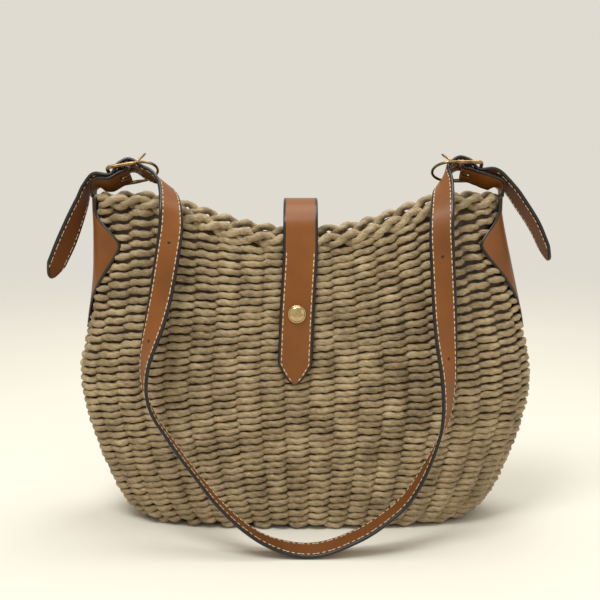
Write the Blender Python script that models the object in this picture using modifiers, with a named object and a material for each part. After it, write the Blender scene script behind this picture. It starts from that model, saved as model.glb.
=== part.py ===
"""Woven hobo bag with a leather handle, two buckles and a snap closure tab.

The bag stands on its base: origin at the middle of the underside, +X along the
width, -Y towards the front, +Z up. The handle has flopped down in front of the
bag, so it passes through a half twist on each side. Sizes are in millimetres
until they reach a mesh, which is in metres.
"""
import math
from bisect import bisect_right

import bmesh
import bpy
from mathutils import Matrix, Vector

MM = 0.001
GAP = 0.3                      # air kept between touching pieces

# Woven wall: height, half-width on the left, half-width on the right, half-depth
PROFILE = (
    (0, 124, 124, 40),
    (5, 139, 141, 43.5),
    (20, 153, 156, 45.5),
    (50, 168, 171, 46),
    (90, 181, 184, 46),
    (125, 186, 188, 45),
    (165, 178, 181, 43),
    (205, 172, 172, 38),
    (240, 170.5, 164, 31),
    (265, 170, 158.5, 28),
    (285, 170, 155, 27),
)
SECTION_POWER = 2.8            # superellipse exponent of every level section
NOMINAL_SECTION = (170, 40)    # section that spaces the columns evenly
WALL_COLUMNS = 56
WALL_LEVELS = (0, 0.02, 0.06, 0.12, 0.2, 0.3, 0.4, 0.5, 0.58, 0.66, 0.74, 0.82, 0.89, 0.95, 1.0)
WALL_THICKNESS = 5.0
LINING_THICKNESS = 1.2

# Rim: a braided border on top of the wall, low in the middle, high at the sides
RIM_LOW = 243.0
RIM_RISE = 30.5
RIM_SPAN = 140.0               # distance from the middle at which the rise ends
RIM_SHAPE = 1.3
BORDER_RADIUS = 4.0

LEATHER = 2.8                  # strap thickness, two layers
STRAP_HALF = 10.0
TAB_LEATHER = 2.2
TAB_HALF = 10.0
TAB_CLAMP = 259.0              # above this height the side tab stands straight up
TAB_LIFT_LOW = 0.9             # side tab's distance from the wall, low and high
TAB_LIFT_HIGH = 2.1

# Handle swing: the axis runs along X above both top corners
SWING_Z = 288.0
SWING_RADIUS = 17.0            # the side tabs are parted on this radius

# Side tab outline: height, half-width measured round the wall
TAB_OUTLINE = (
    (163, 3.0),
    (185, 10.5),
    (208, 22),
    (227, 32.5),
    (234, 35),
    (240, 31),
    (249, 20.5),
    (257, 12.5),
    (262, 10),
)

# Buckles: bar centre, side sign (+1 where inwards is +X), tilt of the frame
BUCKLES = {
    "left": ((-146.8, 0.0, 290.8), 1.0, math.radians(9.5)),
    "right": ((132.7, 0.0, 293.0), -1.0, 0.0),
}
BUCKLE_ROLL = math.radians(40)  # the rear side of each buckle is the lower one
FRAME_HALF = 13.0
FRAME_REACH = 12.4             # from the bar to the outer end, and to the bow
BOW_REACH = 14.5
FRAME_RADIUS = 1.6
BOW_RADIUS = 1.0
BAR_RADIUS = 1.4
WRAP_RADIUS = BAR_RADIUS + GAP + TAB_LEATHER / 2
PRONG_RADIUS = 1.0
PRONG_EYE = BAR_RADIUS + GAP + PRONG_RADIUS
PRONG_ANGLE = math.radians(36)
PRONG_LENGTH = 25.0
STRAP_SLOT = (0.0, 11.0, 3.4)  # from, to, width, measured from the bar
CHAPE_SLOT = (-7.0, 6.0, 4.6)
TAIL_CUT = -15.0               # where the tail starts, outside the frame

# Strap through a buckle: distance from the bar inwards, height over the frame
STRAP_IN_BUCKLE = (
    (-12.4, -4.1), (-9.2, -3.0), (-6.6, 1.2), (-4.3, 4.9), (0.0, 7.4),
    (4.0, 8.5), (8.0, 7.0), (11.5, 3.6), (15.0, -0.4),
)
# Side tab's upper end round the bar: outer layer, then the wrap is an arc
CHAPE_IN_BUCKLE = ((-12.4, -7.7), (-8.0, -6.0), (-4.0, -4.0))

# Free stretches of the strap: centre, then the direction from its front edge to
# its rear edge at the buckles, carried along the strap
TAIL_LEFT = (
    ((-212, 1, 204), (0.50, 0.72, -0.48)),
    ((-205.5, 1, 218), (0.50, 0.72, -0.48)),
    ((-197.5, 0, 235), (0.54, 0.65, -0.53)),
    ((-190, 0, 252.5), (0.44, 0.74, -0.50)),
    ((-184, 0.5, 267), (0.28, 0.84, -0.46)),
    ((-179.2, 0.8, 279.4), (0.12, 0.92, -0.37)),
    ((-171, 0.9, 287.4), (0.09, 0.87, -0.48)),
)
TAIL_RIGHT = (
    ((155, -2.0, 290.7), (0.00, 0.80, -0.60)),
    ((164.8, 0, 284.5), (-0.06, 0.87, -0.49)),
    ((172.8, 1, 276), (-0.20, 0.88, -0.42)),
    ((180, 1.5, 266), (-0.28, 0.89, -0.36)),
    ((190.5, 2, 250.5), (-0.32, 0.91, -0.25)),
    ((198, 2.5, 236), (-0.26, 0.94, -0.21)),
    ((205, 1.5, 219), (-0.26, 0.94, -0.21)),
)
HANDLE_LOOP = (
    ((-124.5, -2.6, 289.6), (0.12, 0.77, -0.62)),
    ((-117, -6.4, 285.6), (0.30, 0.83, -0.47)),
    ((-111.5, -14.5, 281.5), (0.45, 0.83, -0.30)),
    ((-107.8, -27, 275), (0.62, 0.76, -0.14)),
    ((-105.7, -38.5, 265), (0.84, 0.54, -0.06)),
    ((-105.4, -45, 250), (0.97, 0.20, -0.12)),
    ((-107.5, -50, 233), (0.99, 0.00, -0.13)),
    ((-110.5, -53, 214), (0.98, -0.10, -0.14)),
    ((-113.7, -56, 196), (0.95, -0.26, -0.13)),
    ((-117.8, -60, 177.5), (0.87, -0.49, -0.05)),
    ((-122, -64, 161.5), (0.70, -0.70, 0.03)),
    ((-125, -67.5, 147.5), (0.50, -0.85, 0.12)),
    ((-125.7, -70.2, 133.5), (0.30, -0.92, 0.22)),
    ((-123.5, -73, 119), (0.10, -0.95, 0.30)),
    ((-117.5, -75.5, 104.5), (-0.08, -0.90, 0.42)),
    ((-107, -78.5, 89.5), (-0.22, -0.83, 0.51)),
    ((-94, -82, 71.5), (-0.30, -0.77, 0.56)),
    ((-81, -86.5, 56), (-0.33, -0.78, 0.53)),
    ((-69, -91, 42), (-0.33, -0.82, 0.46)),
    ((-57, -94.5, 30.5), (-0.30, -0.88, 0.36)),
    ((-45, -97, 21), (-0.25, -0.93, 0.24)),
    ((-31, -98.5, 12.5), (-0.18, -0.97, 0.08)),
    ((-14, -98.5, 6.0), (-0.05, -0.98, -0.12)),
    ((3, -98.5, 3.7), (0.00, -0.98, -0.18)),
    ((19, -98.5, 6.2), (0.07, -0.98, -0.16)),
    ((36, -97.2, 12.3), (0.17, -0.97, -0.08)),
    ((50, -95.5, 19), (0.25, -0.96, -0.02)),
    ((64.3, -92.8, 28.2), (0.33, -0.93, 0.08)),
    ((77.6, -89, 38.5), (0.36, -0.91, 0.18)),
    ((88.2, -85, 51.3), (0.32, -0.88, 0.32)),
    ((96.3, -82, 65), (0.22, -0.88, 0.40)),
    ((103.5, -80, 80), (0.05, -0.90, 0.40)),
    ((109.3, -78, 95), (-0.18, -0.92, 0.32)),
    ((112.8, -75.5, 110), (-0.42, -0.86, 0.25)),
    ((114, -71.8, 125.5), (-0.59, -0.78, 0.21)),
    ((114, -68.5, 139), (-0.72, -0.67, 0.17)),
    ((113.2, -65, 152.5), (-0.84, -0.53, 0.12)),
    ((112.4, -61.5, 166), (-0.93, -0.35, 0.08)),
    ((111.8, -57.5, 181), (-0.98, -0.16, 0.03)),
    ((110.8, -53, 205), (-1.00, 0.00, 0.00)),
    ((109.6, -50, 229), (-1.00, 0.03, 0.00)),
    ((109, -47.5, 247), (-0.96, 0.27, -0.03)),
    ((109.7, -41.5, 262), (-0.90, 0.42, -0.04)),
    ((111.2, -31, 273.5), (-0.78, 0.60, -0.10)),
    ((113, -18, 282), (-0.64, 0.70, -0.26)),
    ((114.6, -8, 287), (-0.38, 0.76, -0.46)),
)

# Closure tab: its middle, from the back over the mouth to the front
TAB_BACK = ((-2.5, 34.5, 243), (-2.5, 36.5, 234), (-2.5, 40, 222), (-2.5, 45, 200), (-2.5, 47.8, 182))
TAB_OVER = (
    (-2.5, 34.5, 243), (-2.5, 29.5, 256.5), (-2.5, 17, 266.5), (-2.5, 0, 269.7),
    (-2.5, -17, 266.5), (-2.5, -29.5, 256.5), (-2.5, -34.5, 243),
)
TAB_FRONT = (
    (-2.5, -34.5, 243), (-2.7, -38.2, 230), (-3.5, -42, 215), (-4.4, -45, 200),
    (-5.4, -47.1, 182), (-6.1, -48.2, 165), (-6.7, -48.8, 150), (-7.3, -48.9, 125),
)
CLOSURE_HALF = 14.0
CLOSURE_LEATHER = 2.6
TIP_LENGTH = 17.0
HINGE_Z = 243.0
HINGE_GAP = 0.6
SNAP = (-5.4, 182.0)           # snap's place: x and height
SNAP_TILT = math.radians(6)    # the wall leans back by this much there
SNAP_TAB = 6.1                 # tab's middle, measured out from the wall
CAP_RADIUS = 7.2
CAP_HEIGHT = 3.4

COLOURS = {
    "straw": ((0.42, 0.30, 0.15, 1), 0.85, 0.0),
    "cotton": ((0.45, 0.36, 0.24, 1), 0.9, 0.0),
    "leather": ((0.27, 0.11, 0.03, 1), 0.45, 0.0),
    "brass": ((0.55, 0.40, 0.17, 1), 0.3, 1.0),
    "steel": ((0.55, 0.55, 0.52, 1), 0.35, 1.0),
}


# ---------------------------------------------------------------- helpers

def clear_scene():
    for item in list(bpy.data.objects):
        bpy.data.objects.remove(item, do_unlink=True)


def new_collection(name):
    group = bpy.data.collections.get(name) or bpy.data.collections.new(name)
    if name not in bpy.context.scene.collection.children:
        bpy.context.scene.collection.children.link(group)
    return group


def material(kind, name):
    colour, roughness, metallic = COLOURS[kind]
    made = bpy.data.materials.new(name)
    made.use_nodes = True
    shader = made.node_tree.nodes["Principled BSDF"]
    shader.inputs["Base Color"].default_value = colour
    shader.inputs["Roughness"].default_value = roughness
    shader.inputs["Metallic"].default_value = metallic
    return made


def add_object(name, data, kind, group):
    item = bpy.data.objects.new(name, data)
    item.data.materials.append(material(kind, name))
    group.objects.link(item)
    return item


def move_origin(item, point):
    """Put the object's origin at a point given in millimetres."""
    place = Vector(point) * MM
    item.data.transform(Matrix.Translation(-place))
    item.location = place


def smooth_value(keys, rows, key):
    """Smooth curve through the rows, which stand at the keys."""
    low = min(max(bisect_right(keys, key) - 1, 0), len(keys) - 2)
    span = keys[low + 1] - keys[low]
    part = (key - keys[low]) / span

    def slope(index):
        before, after = max(index - 1, 0), min(index + 1, len(keys) - 1)
        run = keys[after] - keys[before]
        return [(b - a) / run for a, b in zip(rows[before], rows[after])]

    start, end = slope(low), slope(low + 1)
    square, cube = part ** 2, part ** 3
    return [
        (2 * cube - 3 * square + 1) * a + (cube - 2 * square + part) * span * da
        + (3 * square - 2 * cube) * b + (cube - square) * span * db
        for a, b, da, db in zip(rows[low], rows[low + 1], start, end)
    ]


def smooth_step(value):
    value = min(max(value, 0.0), 1.0)
    return value * value * (3 - 2 * value)


def chord_keys(points):
    keys = [0.0]
    for a, b in zip(points, points[1:]):
        keys.append(keys[-1] + (Vector(b) - Vector(a)).length)
    return keys


def grid_mesh(name, rows, closed=False):
    """Open sheet of quads from rows of points in millimetres."""
    mesh = bmesh.new()
    verts = [[mesh.verts.new(Vector(p) * MM) for p in row] for row in rows]
    across = len(rows[0])
    for low, high in zip(verts, verts[1:]):
        for i in range(across if closed else across - 1):
            j = (i + 1) % across
            mesh.faces.new((low[i], low[j], high[j], high[i]))
    data = bpy.data.meshes.new(name)
    mesh.to_mesh(data)
    mesh.free()
    return data


def solidify(item, thickness, offset):
    step = item.modifiers.new("thickness", "SOLIDIFY")
    step.thickness = thickness * MM
    step.offset = offset
    return step


def cut(item, cutter):
    step = item.modifiers.new("cut", "BOOLEAN")
    step.operation = "DIFFERENCE"
    step.solver = "EXACT"
    step.object = cutter


def wire(name, points, radii, kind, group, cyclic=False, resolution=2):
    """Round wire through points in millimetres, thickness in radii."""
    curve = bpy.data.curves.new(name, "CURVE")
    curve.dimensions = "3D"
    curve.bevel_depth = MM
    curve.bevel_resolution = resolution
    curve.use_fill_caps = not cyclic
    spline = curve.splines.new("POLY")
    spline.points.add(len(points) - 1)
    for slot, point, radius in zip(spline.points, points, radii):
        slot.co = (*(Vector(point) * MM), 1)
        slot.radius = radius
    spline.use_cyclic_u = cyclic
    return add_object(name, curve, kind, group)


# ---------------------------------------------------------------- woven body

def even_angles(count):
    """Angles that space points evenly round the nominal section."""
    wide, deep = NOMINAL_SECTION
    steps = 2000
    angles = [2 * math.pi * i / steps for i in range(steps + 1)]
    power = 2 / SECTION_POWER
    points = [Vector((
        wide * math.copysign(abs(math.cos(a)) ** power, math.cos(a)),
        deep * math.copysign(abs(math.sin(a)) ** power, math.sin(a)), 0)) for a in angles]
    keys = chord_keys(points)
    result = []
    for i in range(count):
        wanted = keys[-1] * i / count
        result.append(angles[bisect_right(keys, wanted) - 1])
    return result


def wall_point(angle, height, inset=0.0):
    """Point on the wall's outer surface, moved inwards by inset."""
    keys = [row[0] for row in PROFILE]
    left, right, deep = smooth_value(keys, [row[1:] for row in PROFILE], height)
    power = 2 / SECTION_POWER
    cosine, sine = math.cos(angle), math.sin(angle)
    wide = (right if cosine > 0 else left) - inset
    return Vector((
        wide * math.copysign(abs(cosine) ** power, cosine),
        (deep - inset) * math.copysign(abs(sine) ** power, sine),
        height))


def rim_height(x):
    """Top of the border at a distance x from the middle."""
    return RIM_LOW + RIM_RISE * smooth_step((abs(x) / RIM_SPAN) ** RIM_SHAPE)


def wall_top(angle):
    reach = NOMINAL_SECTION[0] * abs(math.cos(angle)) ** (2 / SECTION_POWER)
    return rim_height(reach) - 2 * BORDER_RADIUS - GAP


def wall_sheet(name):
    """Outer surface of the woven wall with a flat base, open at the top."""
    angles = even_angles(WALL_COLUMNS)
    rows = []
    for level in WALL_LEVELS:
        rows.append([wall_point(angle, level * wall_top(angle)) for angle in angles])
    data = grid_mesh(name, rows, closed=True)
    mesh = bmesh.new()
    mesh.from_mesh(data)
    mesh.verts.ensure_lookup_table()
    mesh.faces.new([mesh.verts[i] for i in reversed(range(len(angles)))])
    bmesh.ops.recalc_face_normals(mesh, faces=mesh.faces)
    mesh.normal_update()
    return data, mesh


def build_body(group):
    data, mesh = wall_sheet("woven_body")
    mesh.to_mesh(data)
    mesh.free()
    wall = add_object("woven_body", data, "straw", group)
    solidify(wall, WALL_THICKNESS, -1.0)

    data, mesh = wall_sheet("lining")
    inset = (WALL_THICKNESS + 1.5 * GAP) * MM
    places = [vert.co - vert.normal * inset for vert in mesh.verts]
    for vert, place in zip(mesh.verts, places):
        vert.co = place
    mesh.verts.ensure_lookup_table()
    top = [mesh.verts[i] for i in range(len(mesh.verts) - WALL_COLUMNS, len(mesh.verts))]
    bmesh.ops.delete(mesh, geom=top, context="VERTS")
    mesh.to_mesh(data)
    mesh.free()
    lining = add_object("lining", data, "cotton", group)
    solidify(lining, LINING_THICKNESS, -1.0)

    points = []
    for angle in even_angles(WALL_COLUMNS):
        height = wall_top(angle)
        point = wall_point(angle, height, WALL_THICKNESS / 2)
        points.append(point + Vector((0, 0, BORDER_RADIUS + GAP)))
    radii = [BORDER_RADIUS] * len(points)
    wire("rim_border", points, radii, "straw", group, cyclic=True)


# ---------------------------------------------------------------- side tabs

def side_point(side, along, height, lift):
    """Point on the wall a distance along its level section from the side."""
    turn = 1 if along >= 0 else -1
    base = 0.0 if side > 0 else math.pi
    steps = 400
    before = wall_point(base, height)
    gone = 0.0
    for i in range(1, steps + 1):
        angle = base + side * turn * i * (math.pi / 2) / steps
        point = wall_point(angle, height)
        gone += (point - before).length
        if gone >= abs(along) or along == 0:
            break
        before = point
    if along == 0:
        return before + Vector((side * lift, 0, 0))
    keys = [row[0] for row in PROFILE]
    left, right, deep = smooth_value(keys, [row[1:] for row in PROFILE], height)
    wide = right if side > 0 else left
    steep = SECTION_POWER - 1
    normal = Vector((
        side * abs(point.x / wide) ** steep / wide,
        math.copysign(abs(point.y / deep) ** steep / deep, point.y), 0))
    return point + normal.normalized() * lift


def bow(along, radius):
    """Height of a circle's lower arc over its lowest point."""
    return radius - math.sqrt(radius ** 2 - along ** 2)


def build_side_tab(name, side, group):
    """Leather on the bag's side: a diamond, narrowing to a strip at the top."""
    columns = 9
    keys = [row[0] for row in TAB_OUTLINE]
    rows = []
    heights = (163, 169, 177, 185, 193, 201, 209, 217, 224, 229, 234, 238, 243, 248, 253, 258, 262)
    for height in heights:
        low = min(max(bisect_right(keys, height) - 1, 0), len(keys) - 2)
        part = (height - keys[low]) / (keys[low + 1] - keys[low])
        half = TAB_OUTLINE[low][1] * (1 - part) + TAB_OUTLINE[low + 1][1] * part
        rows.append([(half * (2 * i / (columns - 1) - 1), height) for i in range(columns)])
    radius = SWING_RADIUS + 2 * GAP
    last = heights[-1]
    for part in (0.5, 1.0):
        row = []
        for i in range(columns):
            along = TAB_HALF * (2 * i / (columns - 1) - 1)
            top = SWING_Z - radius + bow(along, radius)
            row.append((along, last + part * (top - last)))
        rows.append(row)
    thick = TAB_LEATHER / 2
    surface = []
    for row in rows:
        line = []
        for along, height in row:
            part = smooth_step((height - 245) / 18)
            lift = TAB_LIFT_LOW + (TAB_LIFT_HIGH - TAB_LIFT_LOW) * part + thick
            point = side_point(side, along, min(height, TAB_CLAMP), lift)
            line.append(Vector((point.x, point.y, height)))
        surface.append(line)
    item = add_object(name, grid_mesh(name, surface), "leather", group)
    solidify(item, TAB_LEATHER, 0.0)


# ---------------------------------------------------------------- buckles

def buckle_axes(which):
    """Bar centre, then the inward, rearward and upward directions."""
    centre, side, tilt = BUCKLES[which]
    inward = Vector((side * math.cos(tilt), 0, math.sin(tilt)))
    rear = Vector((0, math.cos(BUCKLE_ROLL), -math.sin(BUCKLE_ROLL)))
    rear = (rear - inward * rear.dot(inward)).normalized()
    up = inward.cross(rear) * side
    return Vector(centre), inward, rear, up


def in_buckle(which, along, across, height):
    centre, inward, rear, up = buckle_axes(which)
    return centre + inward * along + rear * across + up * height


def build_frame(which, group):
    """Half-round buckle frame: straight sides, and a thinner bow inwards."""
    outline = []
    corner = 3.0
    for k in range(5):
        turn = math.radians(90 + 22.5 * k)
        outline.append((
            -FRAME_REACH + corner + corner * math.cos(turn),
            FRAME_HALF - corner + corner * math.sin(turn), FRAME_RADIUS))
    straight = [(0.0, FRAME_HALF, FRAME_RADIUS), (8.0, FRAME_HALF, FRAME_RADIUS)]
    bow_points = []
    for k in range(1, 12):
        turn = math.radians(90 - 15 * k)
        bow_points.append((
            FRAME_REACH + BOW_REACH * math.cos(turn), FRAME_HALF * math.sin(turn), BOW_RADIUS))
    shoulder = [(FRAME_REACH, FRAME_HALF, BOW_RADIUS)]
    half = outline[::-1] + straight + shoulder
    mirrored = [(u, -w, r) for u, w, r in half]
    ring = half + bow_points + mirrored[::-1]
    points = [in_buckle(which, u, w, 0) for u, w, _ in ring]
    name = f"buckle_frame_{which}"
    item = wire(name, points, [r for _, _, r in ring], "brass", group, cyclic=True)
    move_origin_curve(item, BUCKLES[which][0])


def move_origin_curve(item, point):
    place = Vector(point) * MM
    item.data.transform(Matrix.Translation(-place))
    item.location = place


def build_bar(which, group):
    centre, _, rear, _ = buckle_axes(which)
    length = 2 * (FRAME_HALF - FRAME_RADIUS - GAP)
    bpy.ops.mesh.primitive_cylinder_add(vertices=20, radius=BAR_RADIUS * MM, depth=length * MM)
    item = bpy.context.active_object
    for holder in list(item.users_collection):
        holder.objects.unlink(item)
    group.objects.link(item)
    item.name = f"buckle_bar_{which}"
    item.data.materials.append(material("steel", item.name))
    item.rotation_mode = "QUATERNION"
    item.rotation_quaternion = Vector((0, 0, 1)).rotation_difference(rear)
    item.location = centre * MM


def build_prong(which, group):
    """Prong: an eye round the bar, then a straight pin with a slight upturn."""
    points = []
    leave = math.degrees(PRONG_ANGLE) + 90
    for k in range(13):
        turn = math.radians(390 - (390 - leave) * k / 12)
        points.append((PRONG_EYE * math.cos(turn), PRONG_EYE * math.sin(turn)))
    ahead = (math.cos(PRONG_ANGLE), math.sin(PRONG_ANGLE))
    start = points[-1]
    for part in (0.3, 0.6, 0.85, 1.0):
        reach = PRONG_LENGTH * part
        rise = 1.2 * max(part - 0.6, 0) * 2
        points.append((
            start[0] + ahead[0] * reach - ahead[1] * rise,
            start[1] + ahead[1] * reach + ahead[0] * rise))
    world = [in_buckle(which, u, 0, h) for u, h in points]
    item = wire(f"prong_{which}", world, [PRONG_RADIUS] * len(world), "brass", group)
    move_origin_curve(item, BUCKLES[which][0])


def slot_cutter(name, which, slot, low, high, cutters):
    """Block that cuts a slot through the leather over the bar."""
    first, last, width = slot
    centre, inward, rear, up = buckle_axes(which)
    mesh = bmesh.new()
    bmesh.ops.create_cube(mesh, size=1.0)
    data = bpy.data.meshes.new(name)
    mesh.to_mesh(data)
    mesh.free()
    item = bpy.data.objects.new(name, data)
    cutters.objects.link(item)
    size = Matrix.Diagonal(((last - first) * MM, width * MM, (high - low) * MM, 1))
    middle = centre + inward * (first + last) / 2 + up * (low + high) / 2
    side = BUCKLES[which][1]
    turn = Matrix((inward, rear * side, up)).transposed().to_4x4()
    item.data.transform(Matrix.Translation(middle * MM) @ turn @ size)
    item.hide_render = True
    item.display_type = "WIRE"
    return item


# ---------------------------------------------------------------- leather strips

def frames(stations, step):
    """Evenly spaced frames along a strip: centre, tangent, width, normal."""
    points = [Vector(p) for p, _ in stations]
    keys = chord_keys(points)
    rows = [(*p, *w) for p, w in zip(points, (w for _, w in stations))]
    count = max(2, round(keys[-1] / step))
    made = []
    for i in range(count + 1):
        key = keys[-1] * i / count
        value = smooth_value(keys, rows, key)
        delta = 0.01
        ahead = Vector(smooth_value(keys, rows, min(key + delta, keys[-1]))[:3])
        behind = Vector(smooth_value(keys, rows, max(key - delta, 0))[:3])
        tangent = (ahead - behind).normalized()
        width = Vector(value[3:])
        width = (width - tangent * width.dot(tangent)).normalized()
        made.append((Vector(value[:3]), tangent, width, tangent.cross(width)))
    return made


def strip_rows(made, half_at, columns=3, bend_at=None):
    """Rows of points across a strip, one for each of its frames."""
    rows = []
    for i, (centre, tangent, width, _) in enumerate(made):
        row = []
        for k in range(columns):
            across = half_at(i) * (2 * k / (columns - 1) - 1)
            shift = bend_at(i, across) if bend_at else 0.0
            row.append(centre + width * across + tangent * shift)
        rows.append(row)
    return rows


def strap_stations():
    """The whole strap from the left tail's tip to the right tail's tip."""
    stations = [(Vector(p), Vector(w)) for p, w in TAIL_LEFT]
    for which, order in (("left", 1), ("right", -1)):
        rear = buckle_axes(which)[2]
        inside = [(in_buckle(which, u, 0, h), rear) for u, h in STRAP_IN_BUCKLE]
        if which == "right":
            stations += [(Vector(p), Vector(w)) for p, w in HANDLE_LOOP]
        stations += inside[::order]
    stations += [(Vector(p), Vector(w)) for p, w in TAIL_RIGHT]
    return stations


def build_strap(group, cutters):
    """One long strip, parted outside each buckle where its tail bends."""
    made = frames(strap_stations(), 3.5)
    cuts = []
    for which in ("left", "right"):
        goal = in_buckle(which, TAIL_CUT, 0, -3.6)
        near = min(range(len(made)), key=lambda i: (made[i][0] - goal).length)
        cuts.append(near)
    first, last = cuts
    total = len(made) - 1

    def half_at(i):
        from_end = min(i, total - i)
        return (2.5, 5.6, 7.8, 9.3)[from_end] if from_end < 4 else STRAP_HALF

    pieces = (
        ("strap_tail_left", 0, first), ("shoulder_strap", first, last),
        ("strap_tail_right", last, total))
    for name, start, end in pieces:
        part = [list(row) for row in made[start:end + 1]]
        half_gap = 1.3 * GAP
        if start:
            part[0][0] = part[0][0] + part[0][1] * half_gap
        if end < total:
            part[-1][0] = part[-1][0] - part[-1][1] * half_gap
        rows = strip_rows(part, lambda i, s=start: half_at(i + s))
        item = add_object(name, grid_mesh(name, rows), "leather", group)
        solidify(item, LEATHER, 0.0)
        if name == "shoulder_strap":
            for which in ("left", "right"):
                cutter = slot_cutter(f"strap_slot_{which}", which, STRAP_SLOT, 1.0, 16.0, cutters)
                cut(item, cutter)
            move_origin(item, (0, 0, SWING_Z))
        else:
            place, _, _, up = made[last if start else first]
            move_origin(item, place + up * LEATHER / 2)


def chape_stations(which):
    """Upper end of a side tab: up from the side, then round the buckle's bar."""
    side = -BUCKLES[which][1]
    wide = abs(wall_point(0 if side > 0 else math.pi, TAB_CLAMP).x)
    start = wide + TAB_LIFT_HIGH + TAB_LEATHER / 2
    low = SWING_Z - SWING_RADIUS
    rear = buckle_axes(which)[2]
    ahead = Vector((0, 1, 0))
    level = (BUCKLES[which][0][2] - BUCKLES["left"][0][2]) / 2
    stations = [
        (Vector((side * start, 0, low)), ahead),
        (Vector((side * start, 0, low + 4.2)), ahead.lerp(rear, 0.1)),
        (Vector((side * (start - 0.6), -0.1, low + 7.4)), ahead.lerp(rear, 0.4)),
        (Vector((side * (start - 3.2), -1.0, low + 10.7)), ahead.lerp(rear, 0.75)),
        (Vector((side * (start - 8.2), -2.8, low + 11.6 + level)), rear),
    ]
    for along, height in CHAPE_IN_BUCKLE:
        stations.append((in_buckle(which, along, 0, height), rear))
    for degrees in range(-90, 151, 30):
        turn = math.radians(degrees)
        place = in_buckle(
            which, WRAP_RADIUS * math.cos(turn), 0, WRAP_RADIUS * math.sin(turn))
        stations.append((place, rear))
    return stations


def build_chape(which, group, cutters):
    made = frames(chape_stations(which), 1.8)

    def bend_at(i, across):
        return bow(across, SWING_RADIUS) * max(0.0, 1 - i / 4)

    rows = strip_rows(made, lambda i: TAB_HALF, 7, bend_at)
    name = f"tab_chape_{which}"
    item = add_object(name, grid_mesh(name, rows), "leather", group)
    solidify(item, TAB_LEATHER, 0.0)
    cut(item, slot_cutter(f"chape_slot_{which}", which, CHAPE_SLOT, -5.2, 5.2, cutters))
    move_origin(item, (0, 0, SWING_Z))


# ---------------------------------------------------------------- closure tab

def closure_strip(name, middle, group, pointed, first_gap, last_gap):
    stations = [(Vector(point), Vector((1, 0, 0))) for point in middle]
    made = [list(row) for row in frames(stations, 4.0)]
    made[0][0] = made[0][0] + made[0][1] * first_gap
    made[-1][0] = made[-1][0] - made[-1][1] * last_gap
    keys = chord_keys([row[0] for row in made])

    def half_at(i):
        left = keys[-1] - keys[i]
        if not pointed or left > TIP_LENGTH:
            return CLOSURE_HALF
        return 1.5 + (CLOSURE_HALF - 1.5) * (left / TIP_LENGTH) ** 0.8

    item = add_object(name, grid_mesh(name, strip_rows(made, half_at)), "leather", group)
    solidify(item, CLOSURE_LEATHER, 0.0)
    return item


def build_closure(group):
    half_gap = HINGE_GAP / 2
    edge = CLOSURE_LEATHER / 2
    closure_strip("tab_back", TAB_BACK, group, False, half_gap, 0.0)
    over = closure_strip("tab_over", TAB_OVER, group, False, half_gap, half_gap)
    move_origin(over, (0, TAB_OVER[0][1] + edge, HINGE_Z))
    front = closure_strip("tab_front", TAB_FRONT, group, True, half_gap, 0.0)
    hinge = (0, TAB_FRONT[0][1] - edge, HINGE_Z)
    move_origin(front, hinge)
    build_snap(group, hinge)


def turned(name, profile, kind, group, origin=None):
    """Turned piece on the snap's axis: radius and distance out from the wall."""
    x, height = SNAP
    wall = wall_point(math.pi * 1.5, height).y
    mesh = bmesh.new()
    verts = [mesh.verts.new((radius * MM, 0, out * MM)) for radius, out in profile]
    geom = list(verts)
    for a, b in zip(verts, verts[1:]):
        geom.append(mesh.edges.new((a, b)))
    bmesh.ops.spin(
        mesh, geom=geom, cent=(0, 0, 0), axis=(0, 0, 1), angle=2 * math.pi, steps=28,
        use_merge=True)
    bmesh.ops.remove_doubles(mesh, verts=mesh.verts, dist=0.000001)
    bmesh.ops.recalc_face_normals(mesh, faces=mesh.faces)
    turn = Matrix.Rotation(math.pi / 2 - SNAP_TILT, 4, "X")
    place = Matrix.Translation(Vector((x, wall, height)) * MM)
    mesh.transform(place @ turn)
    data = bpy.data.meshes.new(name)
    mesh.to_mesh(data)
    mesh.free()
    item = add_object(name, data, kind, group)
    move_origin(item, origin or (x, wall, height))
    return item


def build_snap(group, hinge):
    face = SNAP_TAB + CLOSURE_LEATHER / 2 + GAP
    dome = [(0, face + CAP_HEIGHT)]
    for k in range(1, 7):
        turn = math.radians(90 - 15 * k)
        dome.append((
            CAP_RADIUS * math.cos(turn),
            face + 0.7 + (CAP_HEIGHT - 0.7) * math.sin(turn)))
    dome += [(CAP_RADIUS, face), (0, face)]
    turned("snap_cap", dome, "brass", group, hinge)
    back = SNAP_TAB - CLOSURE_LEATHER / 2 - 2.5 * GAP
    ring = [(6.5, back), (6.5, back - 1.4), (4.5, back - 1.4), (4.5, back), (6.5, back)]
    turned("snap_socket", ring, "brass", group, hinge)
    foot = 2 * GAP
    post = [
        (0, foot + 2.9), (2.25, foot + 2.9), (2.25, foot + 0.9), (6.0, foot + 0.9),
        (6.0, foot), (0, foot)]
    turned("snap_stud", post, "brass", group)
    inside = -(WALL_THICKNESS + LINING_THICKNESS + 3.2 * GAP)
    washer = [(0, inside), (6.5, inside), (6.5, inside - 0.9), (0, inside - 0.9)]
    turned("snap_washer", washer, "brass", group)


# ---------------------------------------------------------------- assembly

def main():
    clear_scene()
    group = new_collection("hobo_bag")
    cutters = new_collection("cutters")
    build_body(group)
    for which, side in (("left", -1), ("right", 1)):
        build_side_tab(f"side_tab_{which}", side, group)
        build_chape(which, group, cutters)
        build_frame(which, group)
        build_bar(which, group)
        build_prong(which, group)
    build_strap(group, cutters)
    build_closure(group)
    for item in group.objects:
        if item.type == "MESH":
            item.data.shade_smooth()
            item.data.set_sharp_from_angle(angle=math.radians(35))


main()
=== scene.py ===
"""Woven hobo bag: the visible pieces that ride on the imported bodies. Sizes are in millimetres."""

import math
import random
from bisect import bisect_right

import bmesh
import bpy
from mathutils import Matrix, Vector


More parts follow.
